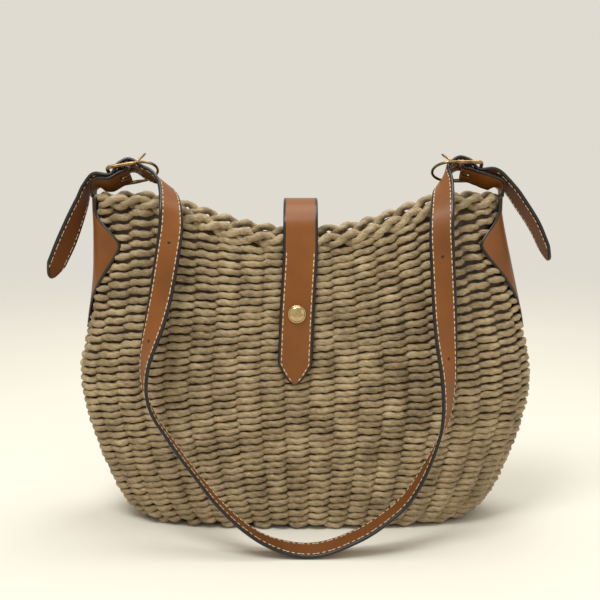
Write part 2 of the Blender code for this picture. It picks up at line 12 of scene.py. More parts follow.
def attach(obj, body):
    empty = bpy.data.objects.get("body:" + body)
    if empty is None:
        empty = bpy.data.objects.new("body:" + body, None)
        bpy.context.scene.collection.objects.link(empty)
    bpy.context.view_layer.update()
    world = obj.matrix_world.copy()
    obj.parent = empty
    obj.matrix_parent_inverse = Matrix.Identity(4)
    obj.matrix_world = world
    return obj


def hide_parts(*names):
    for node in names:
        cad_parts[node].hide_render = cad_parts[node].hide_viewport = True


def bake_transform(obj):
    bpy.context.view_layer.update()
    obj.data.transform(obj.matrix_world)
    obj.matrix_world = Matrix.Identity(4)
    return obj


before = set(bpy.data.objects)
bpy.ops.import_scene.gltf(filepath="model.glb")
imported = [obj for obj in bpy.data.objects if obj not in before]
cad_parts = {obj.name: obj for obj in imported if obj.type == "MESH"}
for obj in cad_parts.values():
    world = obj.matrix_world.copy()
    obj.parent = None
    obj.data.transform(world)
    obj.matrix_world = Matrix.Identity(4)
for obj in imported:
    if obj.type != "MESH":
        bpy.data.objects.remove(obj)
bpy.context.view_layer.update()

MM = 0.001
GAP = 0.3                      # air kept between touching pieces

# Woven wall: height, half-width on the left, half-width on the right, half-depth
PROFILE = (
    (0, 124, 124, 40),
    (5, 139, 141, 43.5),
    (20, 153, 156, 45.5),
    (50, 168, 171, 46),
    (90, 181, 184, 46),
    (125, 186, 188, 45),
    (165, 178, 181, 43),
    (205, 172, 172, 38),
    (240, 170.5, 164, 31),
    (265, 170, 158.5, 28),
    (285, 170, 155, 27),
)
SECTION_POWER = 2.8            # superellipse exponent of every level section
NOMINAL_SECTION = (170, 40)    # section that spaces the columns evenly

# Rim: a braided border on top of the wall, low in the middle, high at the sides
RIM_LOW = 243.0
RIM_RISE = 30.5
RIM_SPAN = 140.0               # distance from the middle at which the rise ends
RIM_SHAPE = 1.3
BORDER_RADIUS = 4.0

LEATHER = 2.8                  # strap thickness, two layers
STRAP_HALF = 10.0
TAB_LEATHER = 2.2
TAB_HALF = 10.0
TAB_CLAMP = 259.0              # above this height the side tab stands straight up
TAB_LIFT_LOW = 1.6             # side tab's distance from the wall, low and high
TAB_LIFT_HIGH = 2.1

# Handle swing: the axis runs along X above both top corners
SWING_Z = 288.0
SWING_RADIUS = 17.0            # the side tabs are parted on this radius

# Side tab outline: height, half-width measured round the wall
TAB_OUTLINE = (
    (163, 3.0),
    (185, 10.5),
    (208, 22),
    (227, 32.5),
    (234, 35),
    (240, 31),
    (249, 20.5),
    (257, 12.5),
    (262, 10),
)

# Buckles: bar centre, side sign (+1 where inwards is +X), tilt of the frame
BUCKLES = {
    "left": ((-146.8, 0.0, 290.8), 1.0, math.radians(9.5)),
    "right": ((132.7, 0.0, 293.0), -1.0, 0.0),
}
BUCKLE_ROLL = math.radians(40)  # the rear side of each buckle is the lower one
FRAME_HALF = 13.0
FRAME_REACH = 12.4             # from the bar to the outer end, and to the bow
BOW_REACH = 14.5
FRAME_RADIUS = 1.6
BOW_RADIUS = 1.0
BAR_RADIUS = 1.4
WRAP_RADIUS = BAR_RADIUS + GAP + TAB_LEATHER / 2
PRONG_RADIUS = 1.0
PRONG_EYE = BAR_RADIUS + GAP + PRONG_RADIUS
PRONG_ANGLE = math.radians(36)
PRONG_LENGTH = 25.0
STRAP_SLOT = (0.0, 11.0, 3.4)  # from, to, width, measured from the bar
CHAPE_SLOT = (-7.0, 6.0, 4.6)
TAIL_CUT = -15.0               # where the tail starts, outside the frame

# Strap through a buckle: distance from the bar inwards, height over the frame
STRAP_IN_BUCKLE = (
    (-12.4, -4.1), (-9.2, -3.0), (-6.6, 1.2), (-4.3, 4.9), (0.0, 7.4),
    (4.0, 8.5), (8.0, 7.0), (11.5, 3.6), (15.0, -0.4),
)
# Side tab's upper end round the bar: outer layer, then the wrap is an arc
CHAPE_IN_BUCKLE = ((-12.4, -7.7), (-8.0, -6.0), (-4.0, -4.0))

# Free stretches of the strap: centre, then the direction from its front edge to
# its rear edge at the buckles, carried along the strap
TAIL_LEFT = (
    ((-212, 1, 204), (0.50, 0.72, -0.48)),
    ((-205.5, 1, 218), (0.50, 0.72, -0.48)),
    ((-197.5, 0, 235), (0.54, 0.65, -0.53)),
    ((-190, 0, 252.5), (0.44, 0.74, -0.50)),
    ((-184, 0.5, 267), (0.28, 0.84, -0.46)),
    ((-179.2, 0.8, 279.4), (0.12, 0.92, -0.37)),
    ((-171, 0.9, 287.4), (0.09, 0.87, -0.48)),
)
TAIL_RIGHT = (
    ((155, -2.0, 290.7), (0.00, 0.80, -0.60)),
    ((164.8, 0, 284.5), (-0.06, 0.87, -0.49)),
    ((172.8, 1, 276), (-0.20, 0.88, -0.42)),
    ((180, 1.5, 266), (-0.28, 0.89, -0.36)),
    ((190.5, 2, 250.5), (-0.32, 0.91, -0.25)),
    ((198, 2.5, 236), (-0.26, 0.94, -0.21)),
    ((205, 1.5, 219), (-0.26, 0.94, -0.21)),
)
HANDLE_LOOP = (
    ((-124.5, -2.6, 289.6), (0.12, 0.77, -0.62)),
    ((-117, -6.4, 285.6), (0.30, 0.83, -0.47)),
    ((-111.5, -14.5, 281.5), (0.45, 0.83, -0.30)),
    ((-107.8, -27, 275), (0.62, 0.76, -0.14)),
    ((-105.7, -38.5, 265), (0.84, 0.54, -0.06)),
    ((-105.4, -45, 250), (0.97, 0.20, -0.12)),
    ((-107.5, -50, 233), (0.99, 0.00, -0.13)),
    ((-110.5, -53, 214), (0.98, -0.10, -0.14)),
    ((-113.7, -56, 196), (0.95, -0.26, -0.13)),
    ((-117.8, -60, 177.5), (0.87, -0.49, -0.05)),
    ((-122, -64, 161.5), (0.70, -0.70, 0.03)),
    ((-125, -67.5, 147.5), (0.50, -0.85, 0.12)),
    ((-125.7, -70.2, 133.5), (0.30, -0.92, 0.22)),
    ((-123.5, -73, 119), (0.10, -0.95, 0.30)),
    ((-117.5, -75.5, 104.5), (-0.08, -0.90, 0.42)),
    ((-107, -78.5, 89.5), (-0.22, -0.83, 0.51)),
    ((-94, -82, 71.5), (-0.30, -0.77, 0.56)),
    ((-81, -86.5, 56), (-0.33, -0.78, 0.53)),
    ((-69, -91, 42), (-0.33, -0.82, 0.46)),
    ((-57, -94.5, 30.5), (-0.30, -0.88, 0.36)),
    ((-45, -97, 21), (-0.25, -0.93, 0.24)),
    ((-31, -98.5, 12.5), (-0.18, -0.97, 0.08)),
    ((-14, -98.5, 6.0), (-0.05, -0.98, -0.12)),
    ((3, -98.5, 3.7), (0.00, -0.98, -0.18)),
    ((19, -98.5, 6.2), (0.07, -0.98, -0.16)),
    ((36, -97.2, 12.3), (0.17, -0.97, -0.08)),
    ((50, -95.5, 19), (0.25, -0.96, -0.02)),
    ((64.3, -92.8, 28.2), (0.33, -0.93, 0.08)),
    ((77.6, -89, 38.5), (0.36, -0.91, 0.18)),
    ((88.2, -85, 51.3), (0.32, -0.88, 0.32)),
    ((96.3, -82, 65), (0.22, -0.88, 0.40)),
    ((103.5, -80, 80), (0.05, -0.90, 0.40)),
    ((109.3, -78, 95), (-0.18, -0.92, 0.32)),
    ((112.8, -75.5, 110), (-0.42, -0.86, 0.25)),
    ((114, -71.8, 125.5), (-0.59, -0.78, 0.21)),
    ((114, -68.5, 139), (-0.72, -0.67, 0.17)),
    ((113.2, -65, 152.5), (-0.84, -0.53, 0.12)),
    ((112.4, -61.5, 166), (-0.93, -0.35, 0.08)),
    ((111.8, -57.5, 181), (-0.98, -0.16, 0.03)),
    ((110.8, -53, 205), (-1.00, 0.00, 0.00)),
    ((109.6, -50, 229), (-1.00, 0.03, 0.00)),
    ((109, -47.5, 247), (-0.96, 0.27, -0.03)),
    ((109.7, -41.5, 262), (-0.90, 0.42, -0.04)),
    ((111.2, -31, 273.5), (-0.78, 0.60, -0.10)),
    ((113, -18, 282), (-0.64, 0.70, -0.26)),
    ((114.6, -8, 287), (-0.38, 0.76, -0.46)),
)

# Closure tab: its middle, from the back over the mouth to the front
TAB_BACK = (
    (-2.5, 34.5, 243), (-2.5, 36.5, 234), (-2.5, 40, 222), (-2.5, 45, 200), (-2.5, 47.8, 182),
)
TAB_OVER = (
    (-2.5, 34.5, 243), (-2.5, 29.5, 256.5), (-2.5, 17, 266.5), (-2.5, 0, 269.7),
    (-2.5, -17, 266.5), (-2.5, -29.5, 256.5), (-2.5, -34.5, 243),
)
TAB_FRONT = (
    (-2.5, -34.5, 243), (-2.7, -38.2, 230), (-3.5, -42, 215), (-4.4, -45, 200),
    (-5.4, -47.1, 182), (-6.1, -48.2, 165), (-6.7, -48.8, 150), (-7.3, -48.9, 125),
)
CLOSURE_HALF = 14.0
CLOSURE_LEATHER = 2.6
TIP_LENGTH = 17.0
SNAP = (-5.4, 182.0)           # snap's place: x and height
SNAP_TILT = math.radians(6)    # the wall leans back by this much there
SNAP_TAB = 6.1                 # tab's middle, measured out from the wall


def smooth_value(keys, rows, key):
    """Smooth curve through the rows, which stand at the keys."""
    low = min(max(bisect_right(keys, key) - 1, 0), len(keys) - 2)
    span = keys[low + 1] - keys[low]
    part = (key - keys[low]) / span

    def slope(index):
        before, after = max(index - 1, 0), min(index + 1, len(keys) - 1)
        run = keys[after] - keys[before]
        return [(b - a) / run for a, b in zip(rows[before], rows[after])]

    start, end = slope(low), slope(low + 1)
    square, cube = part ** 2, part ** 3
    return [
        (2 * cube - 3 * square + 1) * a + (cube - 2 * square + part) * span * da
        + (3 * square - 2 * cube) * b + (cube - square) * span * db
        for a, b, da, db in zip(rows[low], rows[low + 1], start, end)
    ]


def smooth_step(value):
    value = min(max(value, 0.0), 1.0)
    return value * value * (3 - 2 * value)


def chord_keys(points):
    keys = [0.0]
    for a, b in zip(points, points[1:]):
        keys.append(keys[-1] + (Vector(b) - Vector(a)).length)
    return keys


def even_angles(count):
    """Angles that space points evenly round the nominal section."""
    wide, deep = NOMINAL_SECTION
    steps = 2000
    angles = [2 * math.pi * i / steps for i in range(steps + 1)]
    power = 2 / SECTION_POWER
    points = [Vector((
        wide * math.copysign(abs(math.cos(a)) ** power, math.cos(a)),
        deep * math.copysign(abs(math.sin(a)) ** power, math.sin(a)), 0)) for a in angles]
    keys = chord_keys(points)
    result = []
    for i in range(count):
        wanted = keys[-1] * i / count
        result.append(angles[bisect_right(keys, wanted) - 1])
    return result


def wall_point(angle, height, inset=0.0):
    """Point on the wall's outer surface, moved inwards by inset."""
    keys = [row[0] for row in PROFILE]
    left, right, deep = smooth_value(keys, [row[1:] for row in PROFILE], height)
    power = 2 / SECTION_POWER
    cosine, sine = math.cos(angle), math.sin(angle)
    wide = (right if cosine > 0 else left) - inset
    return Vector((
        wide * math.copysign(abs(cosine) ** power, cosine),
        (deep - inset) * math.copysign(abs(sine) ** power, sine),
        height))


def rim_height(x):
    """Top of the border at a distance x from the middle."""
    return RIM_LOW + RIM_RISE * smooth_step((abs(x) / RIM_SPAN) ** RIM_SHAPE)


def wall_top(angle):
    reach = NOMINAL_SECTION[0] * abs(math.cos(angle)) ** (2 / SECTION_POWER)
    return rim_height(reach) - 2 * BORDER_RADIUS - GAP


def side_point(side, along, height, lift):
    """Point on the wall a distance along its level section from the side."""
    turn = 1 if along >= 0 else -1
    base = 0.0 if side > 0 else math.pi
    steps = 400
    before = wall_point(base, height)
    gone = 0.0
    for i in range(1, steps + 1):
        angle = base + side * turn * i * (math.pi / 2) / steps
        point = wall_point(angle, height)
        gone += (point - before).length
        if gone >= abs(along) or along == 0:
            break
        before = point
    if along == 0:
        return before + Vector((side * lift, 0, 0))
    keys = [row[0] for row in PROFILE]
    left, right, deep = smooth_value(keys, [row[1:] for row in PROFILE], height)
    wide = right if side > 0 else left
    steep = SECTION_POWER - 1
    normal = Vector((
        side * abs(point.x / wide) ** steep / wide,
        math.copysign(abs(point.y / deep) ** steep / deep, point.y), 0))
    return point + normal.normalized() * lift


def bow(along, radius):
    """Height of a circle's lower arc over its lowest point."""
    return radius - math.sqrt(radius ** 2 - along ** 2)


def buckle_axes(which):
    """Bar centre, then the inward, rearward and upward directions."""
    centre, side, tilt = BUCKLES[which]
    inward = Vector((side * math.cos(tilt), 0, math.sin(tilt)))
    rear = Vector((0, math.cos(BUCKLE_ROLL), -math.sin(BUCKLE_ROLL)))
    rear = (rear - inward * rear.dot(inward)).normalized()
    up = inward.cross(rear) * side
    return Vector(centre), inward, rear, up


def in_buckle(which, along, across, height):
    centre, inward, rear, up = buckle_axes(which)
    return centre + inward * along + rear * across + up * height


def frames(stations, step):
    """Evenly spaced frames along a strip: centre, tangent, width, normal."""
    points = [Vector(p) for p, _ in stations]
    keys = chord_keys(points)
    rows = [(*p, *w) for p, w in zip(points, (w for _, w in stations))]
    count = max(2, round(keys[-1] / step))
    made = []
    for i in range(count + 1):
        key = keys[-1] * i / count
        value = smooth_value(keys, rows, key)
        delta = 0.01
        ahead = Vector(smooth_value(keys, rows, min(key + delta, keys[-1]))[:3])
        behind = Vector(smooth_value(keys, rows, max(key - delta, 0))[:3])
        tangent = (ahead - behind).normalized()
        width = Vector(value[3:])
        width = (width - tangent * width.dot(tangent)).normalized()
        made.append((Vector(value[:3]), tangent, width, tangent.cross(width)))
    return made


def strap_stations():
    """The whole strap from the left tail's tip to the right tail's tip."""
    stations = [(Vector(p), Vector(w)) for p, w in TAIL_LEFT]
    for which, order in (("left", 1), ("right", -1)):
        rear = buckle_axes(which)[2]
        inside = [(in_buckle(which, u, 0, h), rear) for u, h in STRAP_IN_BUCKLE]
        if which == "right":
            stations += [(Vector(p), Vector(w)) for p, w in HANDLE_LOOP]
        stations += inside[::order]
    stations += [(Vector(p), Vector(w)) for p, w in TAIL_RIGHT]
    return stations


def chape_stations(which):
    """Upper end of a side tab: up from the side, then round the buckle's bar."""
    side = -BUCKLES[which][1]
    wide = abs(wall_point(0 if side > 0 else math.pi, TAB_CLAMP).x)
    start = wide + TAB_LIFT_HIGH + TAB_LEATHER / 2
    low = SWING_Z - SWING_RADIUS
    rear = buckle_axes(which)[2]
    ahead = Vector((0, 1, 0))
    level = (BUCKLES[which][0][2] - BUCKLES["left"][0][2]) / 2
    stations = [
        (Vector((side * start, 0, low)), ahead),
        (Vector((side * start, 0, low + 4.2)), ahead.lerp(rear, 0.1)),
        (Vector((side * (start - 0.6), -0.1, low + 7.4)), ahead.lerp(rear, 0.4)),
        (Vector((side * (start - 3.2), -1.0, low + 10.7)), ahead.lerp(rear, 0.75)),
        (Vector((side * (start - 8.2), -2.8, low + 11.6 + level)), rear),
    ]
    for along, height in CHAPE_IN_BUCKLE:
        stations.append((in_buckle(which, along, 0, height), rear))
    for degrees in range(-90, 151, 30):
        turn = math.radians(degrees)
        place = in_buckle(
            which, WRAP_RADIUS * math.cos(turn), 0, WRAP_RADIUS * math.sin(turn))
        stations.append((place, rear))
    return stations


# ---------------------------------------------------------------- materials

def nodes_of(name):
    made = bpy.data.materials.new(name)
    made.use_nodes = True
    tree = made.node_tree
    return made, tree, tree.nodes["Principled BSDF"]


def object_noise(tree, scale, detail=4.0, stretch=(1, 1, 1)):
    place = tree.nodes.new("ShaderNodeTexCoord")
    shape = tree.nodes.new("ShaderNodeMapping")
    shape.inputs["Scale"].default_value = stretch
    noise = tree.nodes.new("ShaderNodeTexNoise")
    noise.inputs["Scale"].default_value = scale
    noise.inputs["Detail"].default_value = detail
    tree.links.new(place.outputs["Object"], shape.inputs["Vector"])
    tree.links.new(shape.outputs["Vector"], noise.inputs["Vector"])
    return noise


def ramp(tree, source, stops):
    made = tree.nodes.new("ShaderNodeValToRGB")
    bar = made.color_ramp
    while len(bar.elements) < len(stops):
        bar.elements.new(0.5)
    for slot, (place, colour) in zip(bar.elements, stops):
        slot.position = place
        slot.color = (*colour, 1)
    tree.links.new(source, made.inputs["Fac"])
    return made


def bump(tree, shader, source, strength, distance):
    made = tree.nodes.new("ShaderNodeBump")
    made.inputs["Strength"].default_value = strength
    made.inputs["Distance"].default_value = distance
    tree.links.new(source, made.inputs["Height"])
    tree.links.new(made.outputs["Normal"], shader.inputs["Normal"])


def straw(name, low, middle, high):
    made, tree, shader = nodes_of(name)
    patch = object_noise(tree, 55, 3)
    fibre = object_noise(tree, 900, 2, (0.25, 1, 1))
    mix = tree.nodes.new("ShaderNodeMix")
    mix.inputs["Factor"].default_value = 0.45
    tree.links.new(patch.outputs["Fac"], mix.inputs["A"])
    tree.links.new(fibre.outputs["Fac"], mix.inputs["B"])
    colour = ramp(tree, mix.outputs["Result"], ((0.34, low), (0.5, middle), (0.66, high)))
    tree.links.new(colour.outputs["Color"], shader.inputs["Base Color"])
    shader.inputs["Roughness"].default_value = 0.62
    bump(tree, shader, fibre.outputs["Fac"], 0.5, 0.0006)
    return made


def leather(name, low, high, roughness=0.42):
    made, tree, shader = nodes_of(name)
    tone = object_noise(tree, 22, 5)
    colour = ramp(tree, tone.outputs["Fac"], ((0.3, low), (0.7, high)))
    tree.links.new(colour.outputs["Color"], shader.inputs["Base Color"])
    grain = tree.nodes.new("ShaderNodeTexVoronoi")
    grain.inputs["Scale"].default_value = 900
    place = tree.nodes.new("ShaderNodeTexCoord")
    tree.links.new(place.outputs["Object"], grain.inputs["Vector"])
    bump(tree, shader, grain.outputs["Distance"], 0.18, 0.0003)
    shader.inputs["Roughness"].default_value = roughness
    shader.inputs["Coat Weight"].default_value = 0.06
    shader.inputs["Specular IOR Level"].default_value = 0.32
    shader.inputs["Coat Roughness"].default_value = 0.3
    return made


def metal(name, low, high, roughness):
    made, tree, shader = nodes_of(name)
    tone = object_noise(tree, 160, 4)
    colour = ramp(tree, tone.outputs["Fac"], ((0.35, low), (0.65, high)))
    tree.links.new(colour.outputs["Color"], shader.inputs["Base Color"])
    shader.inputs["Metallic"].default_value = 1.0
    shader.inputs["Roughness"].default_value = roughness
    bump(tree, shader, tone.outputs["Fac"], 0.08, 0.0003)
    return made


def paint(name, low, high, roughness, scale=400):
    made, tree, shader = nodes_of(name)
    tone = object_noise(tree, scale, 3)
    colour = ramp(tree, tone.outputs["Fac"], ((0.3, low), (0.7, high)))
    tree.links.new(colour.outputs["Color"], shader.inputs["Base Color"])
    shader.inputs["Roughness"].default_value = roughness
    bump(tree, shader, tone.outputs["Fac"], 0.2, 0.0003)
    return made


STRAW = straw("straw_rope", (0.15, 0.102, 0.05), (0.29, 0.212, 0.112), (0.46, 0.355, 0.205))
# Near-black straw for the sheet behind the ropes: painted shade, not the straw's own colour.
STRAW_PAINTED_SHADE = straw("straw_painted_shade", (0.03, 0.016, 0.006), (0.06, 0.03, 0.012), (0.10, 0.05, 0.02))
COTTON = paint("lining_cotton", (0.30, 0.22, 0.13), (0.38, 0.29, 0.18), 0.9, 1500)
LEATHER_TOP = leather("leather_top", (0.15, 0.046, 0.005), (0.225, 0.072, 0.008))
# Underside of the leather: its darker colour is painted shade; its higher roughness is the
# leather's own.
LEATHER_BACK_PAINTED_SHADE = leather("leather_back_painted_shade", (0.10, 0.03, 0.003), (0.15, 0.047, 0.006), 0.6)
# Black edge paint on the strips' edges; the same black also paints the shade inside the strap's
# holes.
EDGE_PAINT_AND_HOLE_SHADE = paint("edge_paint_and_hole_shade", (0.003, 0.0025, 0.002), (0.007, 0.005, 0.004), 0.35)
THREAD = paint("thread", (0.60, 0.43, 0.25), (0.74, 0.57, 0.37), 0.7, 3000)
BRASS = metal("antique_brass", (0.10, 0.065, 0.03), (0.36, 0.24, 0.11), 0.3)
STEEL = metal("plated_steel", (0.35, 0.33, 0.29), (0.5, 0.48, 0.44), 0.35)
GOLD = metal("polished_gold", (0.45, 0.33, 0.16), (0.58, 0.44, 0.22), 0.16)


# ---------------------------------------------------------------- mesh helpers

def finish_mesh(name, verts, faces, slots, materials, body, replaces=()):
    data = bpy.data.meshes.new(name)
    data.from_pydata([tuple(Vector(v) * MM) for v in verts], [], faces)
    for entry in materials:
        data.materials.append(entry)
    if slots:
        data.polygons.foreach_set("material_index", slots)
    data.update()
    mesh = bmesh.new()
    mesh.from_mesh(data)
    bmesh.ops.recalc_face_normals(mesh, faces=mesh.faces)
    mesh.to_mesh(data)
    mesh.free()
    data.shade_smooth()
    item = bpy.data.objects.new(name, data)
    bpy.context.scene.collection.objects.link(item)
    if body:
        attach(item, body)
    if replaces:
        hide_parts(*replaces)
    return item


def add_tube(verts, faces, points, radius_at, around=8, cyclic=False):
    """Tube along points; radius_at(index, angle) shapes its section."""
    count = len(points)
    base = len(verts)
    tangents = []
    for i in range(count):
        before = points[i - 1] if i or cyclic else points[0]
        after = points[(i + 1) % count] if i < count - 1 or cyclic else points[-1]
        tangents.append((after - before).normalized())
    helper = Vector((0, 0, 1)) if abs(tangents[0].z) < 0.8 else Vector((0, 1, 0))
    side = (helper - tangents[0] * helper.dot(tangents[0])).normalized()
    for i in range(count):
        side = (side - tangents[i] * side.dot(tangents[i])).normalized()
        other = tangents[i].cross(side)
        for k in range(around):
            angle = 2 * math.pi * k / around
            radius = radius_at(i, angle)
            verts.append(points[i] + (side * math.cos(angle) + other * math.sin(angle)) * radius)
    for i in range(count if cyclic else count - 1):
        low = base + i * around
        high = base + ((i + 1) % count) * around
        for k in range(around):
            j = (k + 1) % around
            faces.append((low + k, low + j, high + j, high + k))
    if not cyclic:
        faces.append(tuple(base + k for k in reversed(range(around))))
        faces.append(tuple(base + (count - 1) * around + k for k in range(around)))


# ---------------------------------------------------------------- straw

COLUMNS = 41                   # columns of floats round the bag
ROWS = 41                      # floats up a column
FLOAT_STEPS = 10               # points along a float
FLOAT_REACH = 1.1              # a float's length in columns, so that neighbours overlap
ROPE_RADIUS = 2.85
BRAID_RADIUS = 3.3
LAY = 9.0                      # length over which a rope's strands turn once
# The next four size a near-black sheet behind the ropes that paints the shade between them.
SHADE_SHEET_COLUMNS = 112
SHADE_SHEET_LEVELS = 30
SHADE_SHEET_INSET = 2.4               # shade sheet's face behind the wall's outer surface
SHADE_SHEET_THICKNESS = 1.6


class Around:
    """Angle of the wall for a distance round it, counted in columns."""

    def __init__(self, count):
        self.table = even_angles(count * 8)
        self.count = count

    def angle(self, column):
        place = (column % self.count) * 8
        low = int(place)
        part = place - low
        first = self.table[low % len(self.table)]
        second = self.table[(low + 1) % len(self.table)]
        if second < first:
            second += 2 * math.pi
        return first * (1 - part) + second * part


def weave_height(angle, level):
    """Height of a row: level rows in the middle, sagging and rising at the sides."""
    top = wall_top(angle)
    low = wall_top(math.pi / 2)
    raised = (top - low) / RIM_RISE
    return level * low + raised * (RIM_RISE * level ** 2.5 - 36 * level * (1 - level))


def wall_at(angle, height, out):
    height = max(height, 0.0)
    point = wall_point(angle, height)
    near = wall_point(angle + 0.01, height) - wall_point(angle - 0.01, height)
    level = Vector((near.y, -near.x, 0)).normalized()
    slope = (wall_point(angle, height + 1) - wall_point(angle, max(height - 1, 0))).dot(level)
    normal = (level - Vector((0, 0, slope / 2))).normalized()
    return point + normal * out


def build_weave():
    rng = random.Random(7)
    around = Around(COLUMNS)
    halves = {"front": ([], []), "back": ([], [])}
    for column in range(COLUMNS):
        for row in range(ROWS + 1):
            level = (row + 0.5 + 0.5 * (column % 2)) / (ROWS + 0.6)
            if level > 0.995:
                continue
            shift = rng.uniform(-0.5, 0.5)
            fat = rng.uniform(0.92, 1.08)
            proud = rng.uniform(-0.3, 0.4)
            lean = 1.5 + rng.uniform(-0.5, 0.6)
            twist = rng.uniform(0, math.pi)
            centre = column + 0.5
            angle = around.angle(centre)
            front = math.sin(angle) < 0
            turn = 1 if front else -1
            points = []
            for k in range(FLOAT_STEPS):
                part = k / (FLOAT_STEPS - 1) - 0.5
                here = around.angle(centre + part * FLOAT_REACH)
                height = weave_height(here, level) + shift + turn * lean * 2 * part
                height += turn * 0.9 * math.sin(part * 2 * math.pi) * -0.5
                out = -3.6 + 4.3 * math.cos(math.pi * part * 0.98) ** 0.8 + proud
                points.append(wall_at(here, height + 1.2, out))
            length = (points[-1] - points[0]).length

            def radius_at(i, phase):
                along = length * i / (FLOAT_STEPS - 1)
                lobes = abs(math.cos(phase + twist - math.pi * along / LAY)) ** 0.6
                ends = 1 - 0.25 * abs(2 * i / (FLOAT_STEPS - 1) - 1) ** 3
                return ROPE_RADIUS * fat * ends * (0.66 + 0.40 * lobes)

            verts, faces = halves["front" if front else "back"]
            add_tube(verts, faces, points, radius_at, around=10)
    for which, (verts, faces) in halves.items():
        finish_mesh(
            f"weave_{which}", verts, faces, None, [STRAW], "bag", ["woven_body"])


def build_shade_sheet():
    """Near-black sheet behind the ropes that paints the shade seen in the gaps between them."""
    angles = even_angles(SHADE_SHEET_COLUMNS)
    rows = []
    for k in range(SHADE_SHEET_LEVELS + 1):
        level = k / SHADE_SHEET_LEVELS
        rows.append([wall_at(a, level * wall_top(a), -SHADE_SHEET_INSET) for a in angles])
    verts = [p for row in rows for p in row]
    count = len(angles)
    faces = []
    for r in range(SHADE_SHEET_LEVELS):
        for i in range(count):
            j = (i + 1) % count
            faces.append((r * count + i, r * count + j, (r + 1) * count + j, (r + 1) * count + i))
    faces.append(tuple(range(count)))
    item = finish_mesh("weave_shade_sheet", verts, faces, None, [STRAW_PAINTED_SHADE], "bag")
    step = item.modifiers.new("thickness", "SOLIDIFY")
    step.thickness = SHADE_SHEET_THICKNESS * MM
    step.offset = -1.0


def build_rim():
    """Border of two ropes twisted round each other, a turn for every two columns."""
    angles = even_angles(480)
    centre = []
    for angle in angles:
        point = wall_point(angle, wall_top(angle), 1.8)
        centre.append(point + Vector((0, 0, BORDER_RADIUS - 0.6)))
    keys = chord_keys(centre + [centre[0]])
    verts, faces = [], []
    rng = random.Random(3)
    for strand in range(2):
        points = []
        for i, point in enumerate(centre):
            ahead = (centre[(i + 1) % len(centre)] - centre[i - 1]).normalized()
            out = Vector((ahead.y, -ahead.x, 0)).normalized()
            up = ahead.cross(out)
            if up.z < 0:
                up = -up
            phase = 2 * math.pi * (COLUMNS // 2 * keys[i] / keys[-1]) + math.pi * strand
            wobble = 0.2 * rng.uniform(-1, 1)
            points.append(
                point + out * (2.7 * math.cos(phase) + wobble) + up * (3.6 * math.sin(phase) + 0.4))

        def radius_at(i, phase):
            lobes = abs(math.cos(phase - math.pi * keys[i] / LAY))
            return BRAID_RADIUS * (0.70 + 0.36 * lobes)

        add_tube(verts, faces, points, radius_at, around=10, cyclic=True)
    finish_mesh("rim_braid", verts, faces, None, [STRAW], "bag", ["rim_border"])


# ---------------------------------------------------------------- leather

PAINT_WRAP = 1.0               # edge paint laps this far onto the faces
STITCH_PITCH = 4.0
STITCH_LIFT = 0.05             # stitch's middle over the leather
STITCH_SIDE = 7.2              # strap's stitch rows, measured from its middle
FRAME_STEP = 1.5               # distance between a strip's frames
POINT_POWER = 0.62             # shape of the strips' pointed ends
TAIL_POINT = 13                # length of the strap's pointed ends
TAIL_TIP_HALF = 1.6
TAB_TIP_HALF = 1.2
HOLE_RADIUS = 1.25
SEAM = 5                       # frames inside each cut, where an end piece meets the loop


def section(half, thick, columns=4, corner=4):
    """Rounded strip section: places across and up, and what each place shows."""
    radius = min(thick * 0.46, half * 0.9)
    flat = half - radius
    places = []
    wrap = min(PAINT_WRAP, flat / 3)
    inner = flat - wrap
    places.append((-flat, thick / 2, 1))
    for k in range(columns + 1):
        places.append((-inner + 2 * inner * k / columns, thick / 2, 0))
    places.append((flat, thick / 2, 1))
    for k in range(1, corner):
        turn = math.radians(90 - 180 * k / corner)
        places.append((
            flat + radius * math.cos(turn), thick / 2 * math.sin(turn), 1))
    places.append((flat, -thick / 2, 1))
    for k in range(columns + 1):
        places.append((inner - 2 * inner * k / columns, -thick / 2, 2))
    places.append((-flat, -thick / 2, 1))
    for k in range(1, corner):
        turn = math.radians(-90 - 180 * k / corner)
        places.append((
            -flat + radius * math.cos(turn), thick / 2 * math.sin(turn), 1))
    return places


def ribbon(name, made, half_at, thick, body, replaces=(), shift_at=None):
    verts, faces, slots = [], [], []
    count = None
    for i, (centre, tangent, width, normal) in enumerate(made):
        places = section(half_at(i), thick)
        count = len(places)
        for across, up, _ in places:
            point = centre + width * across + normal * up
            if shift_at:
                point = point + tangent * shift_at(i, across)
            verts.append(point)
    kinds = [kind for _, _, kind in section(10, thick)]
    for i in range(len(made) - 1):
        for k in range(count):
            j = (k + 1) % count
            faces.append((i * count + k, i * count + j, (i + 1) * count + j, (i + 1) * count + k))
            same = kinds[k] == kinds[j]
            slots.append(kinds[k] if same else 1)
    faces.append(tuple(reversed(range(count))))
    faces.append(tuple((len(made) - 1) * count + k for k in range(count)))
    slots += [1, 1]
    return finish_mesh(
        name, verts, faces, slots, [LEATHER_TOP, EDGE_PAINT_AND_HOLE_SHADE, LEATHER_BACK_PAINTED_SHADE], body, replaces)


